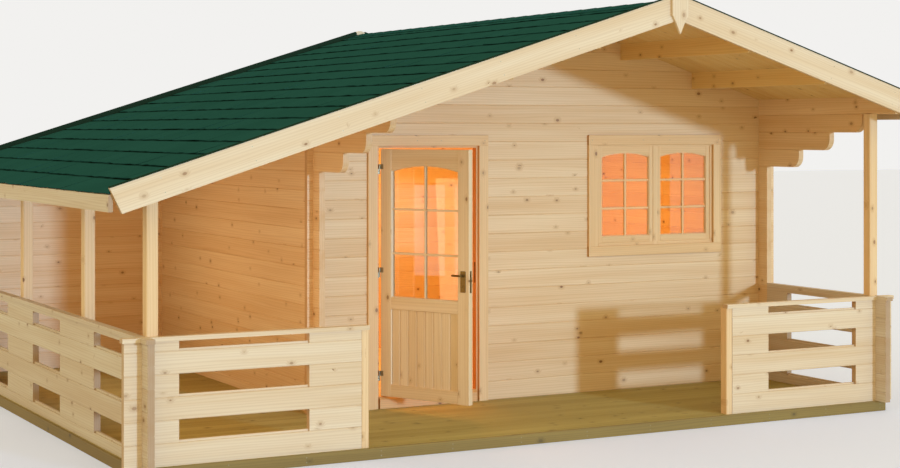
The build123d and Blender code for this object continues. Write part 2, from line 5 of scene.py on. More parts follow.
import bpy
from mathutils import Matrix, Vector


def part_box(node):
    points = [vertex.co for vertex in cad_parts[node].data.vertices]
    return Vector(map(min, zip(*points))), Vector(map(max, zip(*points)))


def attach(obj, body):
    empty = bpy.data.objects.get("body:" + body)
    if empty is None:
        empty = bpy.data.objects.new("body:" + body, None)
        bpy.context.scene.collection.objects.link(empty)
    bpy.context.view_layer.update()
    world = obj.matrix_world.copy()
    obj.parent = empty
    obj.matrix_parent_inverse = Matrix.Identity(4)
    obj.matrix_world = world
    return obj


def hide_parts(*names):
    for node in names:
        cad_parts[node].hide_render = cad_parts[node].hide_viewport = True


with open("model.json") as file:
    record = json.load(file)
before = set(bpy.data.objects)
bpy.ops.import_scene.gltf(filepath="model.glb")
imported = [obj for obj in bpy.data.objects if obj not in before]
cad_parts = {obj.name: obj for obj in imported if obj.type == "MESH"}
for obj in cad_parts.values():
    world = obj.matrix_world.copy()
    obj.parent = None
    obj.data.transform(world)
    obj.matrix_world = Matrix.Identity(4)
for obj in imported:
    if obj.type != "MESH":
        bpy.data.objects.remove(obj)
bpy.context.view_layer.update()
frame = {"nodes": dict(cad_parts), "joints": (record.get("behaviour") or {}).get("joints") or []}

# Floor bearers: sawn, pressure-treated softwood laid straight on the ground. The treatment
# leaves the timber olive brown, and the saw leaves it rough and dull.


def linear(hex_colour):
    """An sRGB hex colour as the linear RGBA that the shaders take."""
    channels = [int(hex_colour[place:place + 2], 16) / 255 for place in (1, 3, 5)]
    curved = [c / 12.92 if c <= 0.04045 else ((c + 0.055) / 1.055) ** 2.4 for c in channels]
    return (*curved, 1.0)


def feed(material, node, inputs):
    """Link a node's inputs to sockets or other nodes, or set them to values."""
    for name, value in inputs.items():
        if isinstance(value, bpy.types.Node):
            value = next(socket for socket in value.outputs if socket.enabled)
        if isinstance(value, str):
            value = linear(value)
        if isinstance(value, bpy.types.NodeSocket):
            material.node_tree.links.new(value, node.inputs[name])
        else:
            node.inputs[name].default_value = value
    return node


def add(material, kind, inputs, **settings):
    """Add one node to a material with its settings, and link or set its inputs."""
    node = material.node_tree.nodes.new("ShaderNode" + kind)
    for name, value in settings.items():
        setattr(node, name, value)
    return feed(material, node, inputs)


def surface(material, layers, height, strength, depth, roughness, metallic=0.0, specular=0.5):
    """Lay tints over a ground colour, each by its share, and join them and a relief."""
    colour, *tints = layers
    for share, tint in tints:
        colour = add(material, "Mix", {"Factor": share, "A": colour, "B": tint}, data_type="RGBA")
    relief = add(material, "Bump", {"Strength": strength, "Distance": depth, "Height": height})
    feed(material, material.node_tree.nodes["Principled BSDF"], {
        "Base Color": colour, "Normal": relief, "Roughness": roughness, "Metallic": metallic,
        "Specular IOR Level": specular,
    })
    return material


def board_place(material, read, course, turn):
    """How far along, across and through its board a point lies, the board, and 1 on an end."""
    if read == "cut":
        place, board, end = [
            add(material, "Attribute", {}, attribute_name=told).outputs[socket]
            for told, socket in (("grain", "Vector"), ("board", "Fac"), ("end", "Fac"))
        ]
        return [*add(material, "SeparateXYZ", {"Vector": place}).outputs, board, end]
    where = add(material, "TexCoord", {})
    leaned, facing = [
        add(material, "SeparateXYZ", {"Vector": add(
            material, "VectorRotate", {"Vector": where.outputs[told], "Angle": turn},
            rotation_type="Y_AXIS",
        )})
        for told in ("Object", "Normal")
    ]
    along, across, through = [leaned.outputs[axis] for axis in read]
    # A side that faces within about 25 degrees of the grain's run is an end
    square = add(material, "Math", {0: facing.outputs[read[0]]}, operation="ABSOLUTE")
    end = add(material, "Math", {0: square, 1: 0.9}, operation="GREATER_THAN")
    # A piece without courses is one board, wherever it lies
    cover, first = course if course else (10.0, -5.0)
    height = add(material, "Math", {0: across, 1: first}, operation="SUBTRACT")
    count = add(material, "Math", {0: height, 1: cover}, operation="DIVIDE")
    board = add(material, "Math", {0: count}, operation="FLOOR")
    return [along, across, through, board, end]


def strew_knots(material, tree, end):
    """Knots from 5 to 22 mm across, unevenly strewn, with darker wood round each.

    Each is an oval half as long again along the board as across it. It gives the shares of
    the knots' hearts and of the wood round them, and how dark each heart is.
    """
    knot_cell = (0.27, 0.1, 0.30)
    knot_stretch = 1.5
    bare_cells = 0.67
    least_radius, most_radius = 0.0025, 0.011
    packed = add(
        material, "VectorMath", {0: tree, 1: [1 / side for side in knot_cell]}, operation="MULTIPLY"
    )
    cells = add(material, "TexVoronoi", {"Vector": packed, "Scale": 1.0})
    offset = add(
        material, "VectorMath", {0: packed, 1: cells.outputs["Position"]}, operation="SUBTRACT"
    )
    real_offset = add(
        material, "VectorMath", {0: offset, 1: (knot_cell[0] / knot_stretch, knot_cell[1], 0.0)},
        operation="MULTIPLY",
    )
    reach = add(material, "VectorMath", {0: real_offset}, operation="LENGTH")
    dice = add(material, "SeparateColor", {"Color": cells.outputs["Color"]}).outputs
    radius = add(
        material, "MapRange", {"Value": dice[0], "From Min": bare_cells, "To Max": most_radius}
    )
    past_edge = add(material, "Math", {0: reach, 1: radius}, operation="SUBTRACT")
    on_face = add(material, "Math", {0: 1.0, 1: end}, operation="SUBTRACT")
    present = add(material, "Math", {0: radius, 1: least_radius}, operation="GREATER_THAN")
    shown = add(material, "Math", {0: present, 1: on_face}, operation="MULTIPLY")
    # The heart has a soft edge 5 mm wide, and darker wood 22 mm wide lies round it
    heart, halo = [
        add(material, "MapRange",
            {"Value": past_edge, "From Min": outer, "From Max": inner, "To Max": shown},
            interpolation_type="SMOOTHSTEP")
        for outer, inner in ((0.002, -0.003), (0.022, 0.0))
    ]
    # Some knots are dark and loose, and some hardly show
    depth = add(material, "MapRange", {"Value": dice[1], "To Min": 0.3, "To Max": 0.95})
    return heart, halo, depth


def grow_rings(material, tree, across, bed, halo, end):
    """The share of rings and fibres, which bend round the knots, and that of heartwood."""
    # Growth wanders over 2 m along the board and a hand across it. Fibres are 1 mm wide, and
    # are drawn 5 mm wide and 0.4 m long. Heartwood comes and goes in bands 70 mm wide.
    wander, fine, broad = [
        add(material, "TexNoise", {"Vector": add(
            material, "VectorMath", {0: tree, 1: scale}, operation="MULTIPLY",
        ), "Scale": 1.0, "Detail": detail, "Roughness": ragged})
        for scale, detail, ragged in (
            ((0.55, 11.0, 11.0), 2.0, 0.5), ((2.5, 190.0, 190.0), 3.0, 0.6),
            ((0.7, 14.0, 14.0), 2.0, 0.5),
        )
    ]
    # Growth rings: 4 mm apart in the wood, drawn 17 mm apart so that they show
    ring_pitch = 0.017
    knot_bend, growth_bend = 0.35, 0.07
    bent = add(material, "Math", {0: halo, 1: knot_bend, 2: wander}, operation="MULTIPLY_ADD")
    lined = add(material, "Math", {0: bent, 1: growth_bend, 2: across}, operation="MULTIPLY_ADD")
    turns = add(material, "Math", {0: lined, 1: 2 * math.pi / ring_pitch}, operation="MULTIPLY")
    wave = add(material, "Math", {0: turns}, operation="SINE")
    rings = add(
        material, "MapRange", {"Value": wave, "From Min": -0.4}, interpolation_type="SMOOTHSTEP"
    )
    # On end grain the same rings are arcs round the tree's heart, drawn 16 mm apart
    slice_place = add(material, "CombineXYZ", {"X": across, "Y": bed})
    arcs = add(
        material, "TexWave",
        {"Vector": slice_place, "Scale": 20.0, "Distortion": 1.2, "Detail": 1.0},
        wave_type="RINGS",
    )
    figure = add(material, "Mix", {"Factor": end, "A": rings, "B": arcs.outputs["Fac"]})
    return add(material, "Math", {0: figure, 1: fine}, operation="MULTIPLY"), broad


def timber(name, pale, warm, dark, knot, read, roughness=0.6, course=None, turn=0.0, soak=0.7):
    """Softwood with long grain, growth rings, knots, and a tone for each board.

    read gives the axes along, across and through the grain, or "cut" for a piece that
    carries its own. course is the cover height of a log and the height where the first one
    starts. turn leans the grain about the Y axis. soak is how dark the end grain is.
    """
    material = bpy.data.materials.new(name)
    material.use_nodes = True
    along, across, through, board, end = board_place(material, read, course, turn)
    # Each board was cut from another place in another tree, some metres away
    farthest_shift, deepest_shift = 53.0, 7.0
    draw = add(material, "TexWhiteNoise", {"W": board}, noise_dimensions="1D")
    drawn = add(material, "SeparateColor", {"Color": draw.outputs["Color"]}).outputs
    shift, bed = [
        add(material, "Math", {0: chance, 1: most, 2: place}, operation="MULTIPLY_ADD")
        for chance, most, place in (
            (drawn[0], farthest_shift, along), (drawn[1], deepest_shift, through),
        )
    ]
    tree = add(material, "CombineXYZ", {"X": shift, "Y": across, "Z": bed})
    heart, halo, knot_depth = strew_knots(material, tree, end)
    lines, broad = grow_rings(material, tree, across, bed, halo, end)

    # Board by board and band by band the wood is more or less warm
    board_contrast, band_contrast, line_contrast, halo_contrast = 0.45, 0.55, 0.34, 0.36
    band = add(
        material, "MapRange",
        {"Value": broad, "From Min": 0.3, "From Max": 0.7, "To Max": band_contrast},
    )
    tone = add(
        material, "Math", {0: drawn[2], 1: board_contrast, 2: band}, operation="MULTIPLY_ADD",
        use_clamp=True,
    )
    # End grain soaks up more stain and dust, so it is darker
    shares = [
        add(material, "Math", {0: share, 1: strength}, operation="MULTIPLY")
        for share, strength in (
            (tone, 1.0), (lines, line_contrast), (halo, halo_contrast), (end, soak),
            (heart, knot_depth),
        )
    ]
    tints = zip(shares, (warm, dark, dark, dark, knot))
    return surface(
        material, (pale, *tints), height=lines, strength=0.2, depth=0.0005, roughness=roughness
    )


def finish(material, *node_names):
    """Give pieces of the frame their material."""
    for node_name in node_names:
        mesh = frame["nodes"][node_name].data
        mesh.materials.clear()
        mesh.materials.append(material)


# The axes along, across and through the grain of what lies from left to right, of what lies
# from front to rear, and of what stands
sideways, lengthways, upright = [0, 2, 1], [1, 2, 0], [2, 0, 1]
finish(
    timber("sawn_treated_bearer", "#8a7a4e", "#75633b", "#4c3f22", "#3c2d18", read=[1, 0, 2],
           roughness=0.85),
    "floor_bearers",
)

# Deck boards: planed treated softwood, grooved on top for grip, screwed down over the
# bearers with a gap for rain. Treated timber weathers to an olive brown.
right, back, up = Vector((1, 0, 0)), Vector((0, 1, 0)), Vector((0, 0, 1))
treated = {"pale": "#b8a464", "warm": "#9d8849", "dark": "#68572d", "knot": "#49391d"}
treated_deck = timber("planed_treated_deck_board", **treated, roughness=0.7, read="cut")
deck_gap = 0.005
deck_ease = 0.002
groove_pitch = 0.0105
groove_width = 0.005
groove_depth = 0.0025
groove_margin = 0.012


def new_stack():
    """An empty stack of boards that will be one mesh."""
    return {"points": [], "faces": [], "grain": [], "board": [], "end": [], "count": 0}


def skin(stack, rings, grain=None, board=0.0, ends=None):
    """Close rings of points, all with the same number of them, to a skin with two ends."""
    size = len(rings[0])
    first = len(stack["points"])
    last = first + size * (len(rings) - 1)
    for points in rings:
        stack["points"] += points
    for near in range(first, last, size):
        for step in range(size):
            after = (step + 1) % size
            stack["faces"].append((near + step, near + after, near + size + after,
                                   near + size + step))
    stack["faces"].append(tuple(first + step for step in reversed(range(size))))
    stack["faces"].append(tuple(last + step for step in range(size)))
    stack["grain"] += grain or [(0.0, 0.0, 0.0)] * (size * len(rings))
    stack["board"] += [board] * (size * len(rings))
    stack["end"] += ends or [0.0] * (size * (len(rings) - 1) + 2)


def cut(stack, outline, start, across, through, length, grain=2):
    """Add one board: an outline in the plane of across and through, drawn out by a length.

    The outline turns from across to through. The grain runs down the length (2), along
    across (0) or along through (1).
    """
    number = stack["count"]
    stack["count"] += 1
    # Each board's grain starts this far from the last one's, in metres
    tree_step = 3.1
    # A side is end grain if it runs this much more steeply across the grain than along it
    end_slope = 20
    side, edge = [axis for axis in (0, 1, 2) if axis != grain]
    rings, places, ends = [], [], []
    for distance in (0.0, length):
        level = start + across.cross(through) * distance
        rings.append([level + across * p + through * q for p, q in outline])
        for local in [(p, q, distance) for p, q in outline]:
            places.append((local[grain] + tree_step * number, local[side], local[edge]))
    for step, after in enumerate(outline[1:] + outline[:1]):
        run = [abs(after[axis] - outline[step][axis]) for axis in (0, 1)]
        ends.append(float(grain < 2 and run[1 - grain] > end_slope * run[grain]))
    ends += [float(grain == 2)] * 2
    skin(stack, rings, places, float(number), ends)


def joined(stack, name, material, slot, *nodes, body="cabin", smooth=False):
    """Make the stack one mesh that rides on a body and stands for pieces of the frame."""
    mesh = bpy.data.meshes.new(name)
    mesh.from_pydata([tuple(point) for point in stack["points"]], [], stack["faces"])
    grain = mesh.attributes.new("grain", "FLOAT_VECTOR", "POINT")
    grain.data.foreach_set("vector", [value for place in stack["grain"] for value in place])
    for told, domain in (("board", "POINT"), ("end", "FACE")):
        mesh.attributes.new(told, "FLOAT", domain).data.foreach_set("value", stack[told])
    if smooth:
        mesh.shade_smooth()
        mesh.set_sharp_from_angle(angle=math.radians(35))
    mesh.materials.append(material)
    piece = bpy.data.objects.new(name, mesh)
    bpy.context.scene.collection.objects.link(piece)
    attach(piece, body)
    if nodes:
        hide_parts(*nodes)


def deck_outline(width, thickness):
    """A deck board's outline, with the grip grooves along its top."""
    points = [
        (deck_ease, 0), (width - deck_ease, 0), (width, deck_ease), (width, thickness - deck_ease),
        (width - deck_ease, thickness),
    ]
    grooves = int((width - groove_margin) / groove_pitch)
    first = (width - grooves * groove_pitch) / 2
    for number in reversed(range(grooves)):
        centre = first + (number + 0.5) * groove_pitch
        points.append((centre + groove_width / 2, thickness))
        points.append((centre, thickness - groove_depth))
        points.append((centre - groove_width / 2, thickness))
    points += [(deck_ease, thickness), (0, thickness - deck_ease), (0, deck_ease)]
    return points


def lay_floor(node_name, board_count, gap, outline_of, material, slot):
    """Lay boards from left to right over the box of a floor, and give their middle lines."""
    low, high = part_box(node_name)
    pitch = (high.y - low.y) / board_count
    stack = new_stack()
    outline = outline_of(pitch - gap, high.z - low.z)
    for number in range(board_count):
        start = Vector((low.x, low.y + gap / 2 + number * pitch, low.z))
        cut(stack, outline, start, back, up, high.x - low.x)
    joined(stack, node_name + "_boards", material, slot, node_name)
    return [low.y + (number + 0.5) * pitch for number in range(board_count)]


veranda_boards, store_boards = 11, 26
veranda_lines = lay_floor(
    "veranda_deck", veranda_boards, deck_gap, deck_outline, treated_deck, "treated_deck"
)
store_lines = lay_floor(
    "store_deck", store_boards, deck_gap, deck_outline, treated_deck, "treated_deck"
)

# Edge boards: planed treated boards nailed round the deck to hide the bearers' ends. Rain
# splashes them from the ground, so they are browner than the deck.
splashed = {"pale": "#957c3e", "warm": "#7d632a", "dark": "#58451c", "knot": "#3f2f15"}
finish(timber("planed_treated_front_board", **splashed, roughness=0.65, read=sideways),
       "front_edge_board")
finish(timber("planed_treated_side_board", **splashed, roughness=0.65, read=lengthways),
       "side_edge_boards")

# Screws: zinc-plated steel with a yellow passivated skin, slightly cloudy, their heads drawn
# down nearly flush. Two hold each deck board on each bearer.


def patchy(name, patch, first, second, relief, depth, roughness, **settings):
    """A material whose tone and relief change in patches, of a size in metres."""
    material = bpy.data.materials.new(name)
    material.use_nodes = True
    place = add(material, "TexCoord", {}).outputs["Object"]
    cloud = add(material, "TexNoise", {"Vector": place, "Scale": 1 / patch})
    layers = (first, (cloud, second))
    return surface(material, layers, cloud, relief, depth, roughness, **settings)


# The plating clouds in patches of about 12 mm
zinc = patchy("zinc_plated_steel", patch=0.012, first="#b7a88a", second="#8c8069", relief=0.05,
              depth=0.0002, roughness=0.38, metallic=1.0)

head_sides = 8
head_sunk = 0.003
head_proud = 0.0005
head_taper = 0.85


def circle(centre, aside, square, radius, sides):
    """Points round a centre, from one direction to the other."""
    angles = [2 * math.pi * step / sides for step in range(sides)]
    return [centre + (aside * math.cos(a) + square * math.sin(a)) * radius for a in angles]


def drive(stack, place, facing, radius):
    """A round screw head or nail head, sunk in the wood and a little proud of it."""
    aside = facing.orthogonal().normalized()
    square = facing.cross(aside)
    skin(stack, [
        circle(place - facing * head_sunk, aside, square, radius, head_sides),
        circle(place + facing * head_proud, aside, square, head_taper * radius, head_sides),
    ])


deck_screw_radius = 0.004
deck_screw_spread = 0.038
bearer_count = 12
bearer_low, bearer_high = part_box("floor_bearers")
bearer_width = 0.070
bearer_run = bearer_high.x - bearer_low.x - bearer_width
bearer_lines = [
    bearer_low.x + bearer_width / 2 + bearer_run * number / (bearer_count - 1)
    for number in range(bearer_count)
]
deck_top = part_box("veranda_deck")[1].z
store_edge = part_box("store_deck")[1].x
deck_screws = new_stack()
for lines, limit in ((veranda_lines, bearer_high.x), (store_lines, store_edge)):
    for y in lines:
        for x in bearer_lines:
            if x < limit:
                for side in (-1, 1):
                    spot = Vector((x, y + side * deck_screw_spread, deck_top))
                    drive(deck_screws, spot, up, deck_screw_radius)
joined(deck_screws, "deck_screws", zinc, "zinc_steel")

# Cabin floor: planed spruce boards, tongued and grooved, nailed to the bearers. Fresh
# planed spruce is a pale straw colour with honey-brown knots.
spruce = {"pale": "#e6d4bf", "warm": "#d6b895", "dark": "#b38b61", "knot": "#86592f"}
planed_board = timber("planed_spruce_board", **spruce, roughness=0.55, read="cut")
floor_gap = 0.0004
floor_vee = 0.003


def board_outline(width, thickness, lower, upper):
    """A board's outline, with its two lower and its two upper edges planed off."""
    points = [
        (lower, 0), (width - lower, 0), (width, lower), (width, thickness - upper),
        (width - upper, thickness), (upper, thickness), (0, thickness - upper), (0, lower),
    ]
    # Where an edge is left sharp, its two points are one
    return [point for step, point in enumerate(points) if point != points[step - 1]]


def floor_outline(width, thickness):
    """A floor board's outline, with its upper edges planed to a V."""
    return board_outline(width, thickness, 0, floor_vee)


floor_boards = 34
lay_floor("cabin_floor", floor_boards, floor_gap, floor_outline, planed_board, "spruce")

# Log walls: spruce planed to an even section with a tongue and groove, halved over each
# other at the corners. Each log keeps its own tone and knots. Their clear stain is warmer
# than the bare wood.
log_cover = 0.138
wall_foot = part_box("front_wall_left")[0].z
stained = {"pale": "#eed0a9", "warm": "#deb584", "dark": "#ba8955", "knot": "#80512a"}
front_course = (log_cover, wall_foot)
side_course = (log_cover, wall_foot - log_cover / 2)
finish(
    timber("stained_spruce_front_log", **stained, read=sideways, course=front_course),
    "front_wall_left", "front_wall_middle", "front_wall_below_window", "front_wall_right",
    "front_wall_top", "front_gable", "rear_wall", "rear_gable",
)
finish(
    timber("stained_spruce_side_log", **stained, read=lengthways, course=side_course, soak=0.2),
    "left_wall", "right_wall", "left_wall_top_logs", "right_wall_top_logs",
)

# Railings: shorter planed spruce logs of the same section, with blocks and gaps between.
# The front ones are pale spruce. The side ones are a greyer copy of it, painted to cancel the warm
# shade light on their side faces.
finish(
    timber("planed_spruce_front_railing", **spruce, read=sideways, course=front_course),
    "front_railing_left", "front_railing_right",
)
# A greyer copy of the spruce palette, painted to cancel the warm shade light on side-facing pieces
shade_cooled_spruce = {"pale": "#dacdc1", "warm": "#c9b199", "dark": "#a0774b", "knot": "#7c5531"}
finish(
    timber("planed_spruce_side_railing", **shade_cooled_spruce, read=lengthways, course=side_course),
    "store_railing", "right_railing",
)

# Purlins: spruce beams from front to rear under the roof boards. Their colour is painted with the
# golden tone of the warm shade under the roof.
# Golden palette: the painted shade tone of the timbers under the roof
golden_shade_spruce = {"pale": "#efd090", "warm": "#dfb571", "dark": "#ba8947", "knot": "#7d4d22"}
finish(timber("spruce_purlin_painted_shade", **golden_shade_spruce, read=lengthways), "ridge_purlin", "slope_purlins")

# Eave beam, fascias and side caps: planed spruce that runs from front to rear, in the same greyer
# copy as the side railings, painted to cancel the warm shade light on these pieces.
finish(timber("planed_spruce_beam", **shade_cooled_spruce, read=lengthways),
       "eave_beam", "eave_fascias", "side_caps")

# Posts: planed spruce, stained as warm as the walls. The roof's are square and stand on the
# deck under the eave beam, or on the right railing under the bracket logs. Two short ones end
# the front railings.
finish(timber("stained_spruce_post", **stained, read=upright), "roof_posts", "entrance_posts")

# Front caps: planed spruce boards nailed flat on the front railings. The weather has left
# them as pale as the logs under them.
finish(timber("planed_spruce_front_cap", **spruce, read=sideways), "front_caps")

# Bargeboards: wide planed spruce boards nailed over the roof's edge on both gables, with
# the grain down the slope.
left_low, left_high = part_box("roof_boards_left")
right_low, right_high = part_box("roof_boards_right")
ridge_x = left_high.x
board_thickness = 0.019
# The box of the boards is one board's plumb thickness taller than the slope's own rise, and
# that thickness depends on the angle, so a few rounds find it
pitch_angle = math.atan2(left_high.z - left_low.z, left_high.x - left_low.x)
for refinement in range(6):
    rise = left_high.z - left_low.z - board_thickness / math.cos(pitch_angle)
    pitch_angle = math.atan2(rise, left_high.x - left_low.x)
finish(timber("planed_spruce_left_bargeboard", **spruce, read=sideways, turn=pitch_angle),
       "bargeboards_left")
finish(timber("planed_spruce_right_bargeboard", **spruce, read=sideways, turn=-pitch_angle),
       "bargeboards_right")

# Roof boards: planed spruce, tongued and grooved, laid from eave to ridge over the purlins. Their V
# joints show from below, which is painted with the same golden shade tone as the purlins.
# Golden palette: the painted shade tone of the roof boards' underside
golden_shade_soffit = {"pale": "#e6c88b", "warm": "#d6ae6d", "dark": "#b38446", "knot": "#784a20"}
golden_shade_board = timber("spruce_roof_board_painted_shade", **golden_shade_soffit, read="cut")
roof_board_cover = 0.096
roof_board_gap = 0.0006
soffit_vee = 0.004


def slope_of(side):
    """The lower corner of a slope's boards at the eave, and its directions and lengths."""
    if side == "left":
        low, high = left_low, left_high
        up_slope = Vector((math.cos(pitch_angle), 0, math.sin(pitch_angle)))
        corner, across = Vector((low.x, low.y, low.z)), back
    else:
        low, high = right_low, right_high
        up_slope = Vector((-math.cos(pitch_angle), 0, math.sin(pitch_angle)))
        corner, across = Vector((high.x, high.y, low.z)), -back
    length = (high.x - low.x) / math.cos(pitch_angle)
    return corner, up_slope, across, up_slope.cross(across), length, high.y - low.y


for side in ("left", "right"):
    corner, up_slope, across, lift, slope_length, roof_depth = slope_of(side)
    board_count = round(roof_depth / roof_board_cover)
    cover = roof_depth / board_count
    stack = new_stack()
    outline = board_outline(cover - roof_board_gap, board_thickness, soffit_vee, 0)
    for number in range(board_count):
        cut(stack, outline, corner + across * (number * cover), across, lift, slope_length)
    joined(stack, f"roof_boards_{side}_laid", golden_shade_board, "spruce", f"roof_boards_{side}")

# Shingles: mineral felt strips cut into tabs and nailed in courses from the eave up. The butts lie
# a little uneven. Under each a thin wavy dark line is painted on the felt: painted shade from the
# butt above, with some dirt.
shingle_exposure = 0.25
shingle_lap = 0.03
shingle_thickness = 0.004
tab_width = 0.333
tab_slot = 0.002
tab_steps = 4
butt_lift = 0.005
butt_wander = 0.008
eave_keep = 0.016

felt = bpy.data.materials.new("mineral_felt_shingle")
felt.use_nodes = True
felt_place = add(felt, "TexCoord", {}).outputs["Object"]
tab_number = add(felt, "Attribute", {}, attribute_name="board").outputs["Fac"]
tab_draw = add(felt, "TexWhiteNoise", {"W": tab_number}, noise_dimensions="1D")
# The slate grit is 1 mm across, and is drawn 8 mm across so that it shows. Tone changes over
# half a metre, and the line under the butts comes and goes over a fifth of one.
dash_place = add(felt, "VectorMath", {0: felt_place, 1: (1.0, 5.0, 1.0)}, operation="MULTIPLY")
grit, blotch, dashes = [
    add(felt, "TexNoise", {"Vector": place, "Scale": scale})
    for place, scale in ((felt_place, 1 / 0.008), (felt_place, 1 / 0.45), (dash_place, 1.0))
]
tab_contrast, grit_contrast = 0.3, 0.35
felt_tone = add(
    felt, "Math", {0: tab_draw.outputs["Value"], 1: tab_contrast, 2: blotch},
    operation="MULTIPLY_ADD",
)
# The painted shade line starts 22 mm short of the next butt, and is full 6 mm short of it
line_start, line_full = shingle_exposure - 0.022, shingle_exposure - 0.006
felt_grain = add(felt, "Attribute", {}, attribute_name="grain").outputs["Vector"]
up_tab = add(felt, "SeparateXYZ", {"Vector": felt_grain}).outputs[0]
felt_light, grit_share, under_butt, dash_share = [
    add(felt, "MapRange", {
        "Value": value, "From Min": low, "From Max": high, "To Min": start, "To Max": stop,
    })
    for value, low, high, start, stop in (
        (felt_tone, 0.3, 1.2, 0.0, 1.0), (grit, 0.4, 0.75, 0.0, grit_contrast),
        (up_tab, line_start, line_full, 0.0, 1.0), (dashes, 0.3, 0.6, 0.35, 1.0),
    )
]
# The line under each butt is painted shade from the butt above, with some dirt
line_share = add(felt, "Math", {0: under_butt, 1: dash_share}, operation="MULTIPLY")
felt_layers = (
    "#224e54", (felt_light, "#27565d"), (grit_share, "#14363b"), (line_share, "#07140f")
)
surface(felt, felt_layers, height=grit, strength=0.3, depth=0.001, roughness=0.95, specular=0.0)

shingle_random = random.Random(5)


def lay_felt(stack, stations, board):
    """A bent strip of felt through stations, each with the near and the far edge's two sides."""
    base = len(stack["points"])
    for station in stations:
        for point, grain in station:
            stack["points"].append(point)
            stack["grain"].append(grain)
            stack["board"].append(board)
    last = len(stack["points"]) - 4
    for near in range(base, last, 4):
        far = near + 4
        stack["faces"] += [
            (near + 1, near + 3, far + 3, far + 1), (near, far, far + 2, near + 2),
            (near, near + 1, far + 1, far), (near + 2, far + 2, far + 3, near + 3),
        ]
    stack["faces"] += [(base, base + 2, base + 3, base + 1), (last, last + 1, last + 3, last + 2)]
    stack["end"] += [0.0] * (last - base + 2)


def lay_tab(stack, origin, up_slope, across, lift, low_edge, length, start, width):
    """One tab: its butt rests on the course below and its head lies on the boards."""
    stations = []
    for step in range(tab_steps + 1):
        side = start + width * step / tab_steps
        edge = low_edge + shingle_random.uniform(0, butt_wander)
        raised = shingle_thickness + shingle_random.uniform(0, butt_lift)
        stations.append([
            (origin + up_slope * distance + across * side + lift * height,
             (distance - low_edge, side, height))
            for distance, foot in ((edge, raised), (low_edge + length, 0.0))
            for height in (foot, foot + shingle_thickness)
        ])
    lay_felt(stack, stations, float(stack["count"]))
    stack["count"] += 1


course_shift = 0.05
least_tab = tab_width / 8
for side in ("left", "right"):
    corner, up_slope, across, lift, slope_length, roof_depth = slope_of(side)
    shingle_low, shingle_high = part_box(f"shingles_{side}")
    whole_length = (shingle_high.x - shingle_low.x) / math.cos(pitch_angle)
    origin = corner - up_slope * (whole_length - slope_length) + lift * board_thickness
    stack = new_stack()
    for course_number in range(math.ceil(whole_length / shingle_exposure)):
        low_edge = eave_keep + course_number * shingle_exposure
        length = min(shingle_exposure + shingle_lap, whole_length - low_edge)
        start = -tab_width * (course_number % 2) / 2 - course_shift * (course_number % 3)
        while start < roof_depth:
            first_side = max(start, 0.0)
            last_side = min(start + tab_width - tab_slot, roof_depth)
            if last_side - first_side > least_tab:
                lay_tab(stack, origin, up_slope, across, lift, low_edge, length, first_side,
                        last_side - first_side)
            start += tab_width
    joined(stack, f"shingles_{side}_laid", felt, "green_felt_shingle", f"shingles_{side}")

# Ridge caps: single tabs of the same mineral felt, bent over the ridge and nailed, each
# lapping the next.
cap_low, cap_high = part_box("ridge_cap")
cap_length = 0.33
cap_exposure = 0.2
cap_lift = 0.0055
cap_thickness = 0.003
cap_flat = 0.06
cap_bends = (1.0, 0.5, 0.12, -0.12, -0.5, -1.0)
cap_half = (cap_high.x - cap_low.x) / 2
cap_tone = 0.4
stack = new_stack()
for number in range(math.ceil((cap_high.y - cap_low.y) / cap_exposure)):
    near_y = cap_low.y + number * cap_exposure
    far_y = min(near_y + cap_length, cap_high.y)
    stations = []
    for share in cap_bends:
        drop = (abs(share) - cap_flat) * cap_half * math.tan(pitch_angle)
        stations.append([
            (Vector((ridge_x + share * cap_half, y, height)), (0.0, y, height))
            for y, top in ((near_y, cap_high.z - drop), (far_y, cap_high.z - drop - cap_lift))
            for height in (top - cap_thickness, top)
        ])
    lay_felt(stack, stations, number + cap_tone)
joined(stack, "ridge_caps_laid", felt, "green_felt_shingle", "ridge_cap")

# Nails: zinc-plated steel with round heads, driven nearly flush along the bargeboards and the
# edge boards. They show as small dots of dull metal.
nail_radius = 0.0035
nails = new_stack()
barge_low, barge_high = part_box("bargeboards_left")
barge_nail_start = 0.3
barge_nail_spacing = 0.6
# Heights over the boards' underside, square to the slope
barge_nail_heights = (0.019, -0.071)
for side in ("left", "right"):
    corner, up_slope, across, lift, slope_length, roof_depth = slope_of(side)
    for number in range(int(slope_length / barge_nail_spacing)):
        along_slope = up_slope * (barge_nail_start + number * barge_nail_spacing)
        for height in barge_nail_heights:
            spot = corner + along_slope + lift * height
            drive(nails, Vector((spot.x, barge_low.y, spot.z)), -back, nail_radius)
            drive(nails, Vector((spot.x, barge_high.y, spot.z)), back, nail_radius)
edge_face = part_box("front_edge_board")[0].y
edge_nail_heights = (0.022, 0.052)
for x in bearer_lines:
    for height in edge_nail_heights:
        drive(nails, Vector((x, edge_face, height)), -back, nail_radius)
joined(nails, "nail_heads", zinc, "zinc_steel")

# Verge strips: sanded felt folded over the bargeboards' upper edges and down to the shingles, so
# that no rain gets behind the boards. The felt is painted near black, darker than the shingles, so
# that it also stands for the shade line along the roof's edge.
strip_thickness = 0.007
strip_proud = 0.005
strip_flap = 0.003
barge_thickness = 0.028
barge_rise = 0.061 * math.cos(pitch_angle)
strip_setback = 0.009
ridge_stop = 0.028
finial_low, finial_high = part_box("finials")

# The sand is 1 mm across, and is drawn 6 mm across so that it shows
# Dark felt: partly the strip's own colour, partly painted shade along the roof's edge
shade_line_felt = patchy("sanded_felt_strip_painted_shade", patch=0.006, first="#16291f", second="#2b3f33",
                    relief=0.3, depth=0.0005, roughness=0.95, specular=0.0)

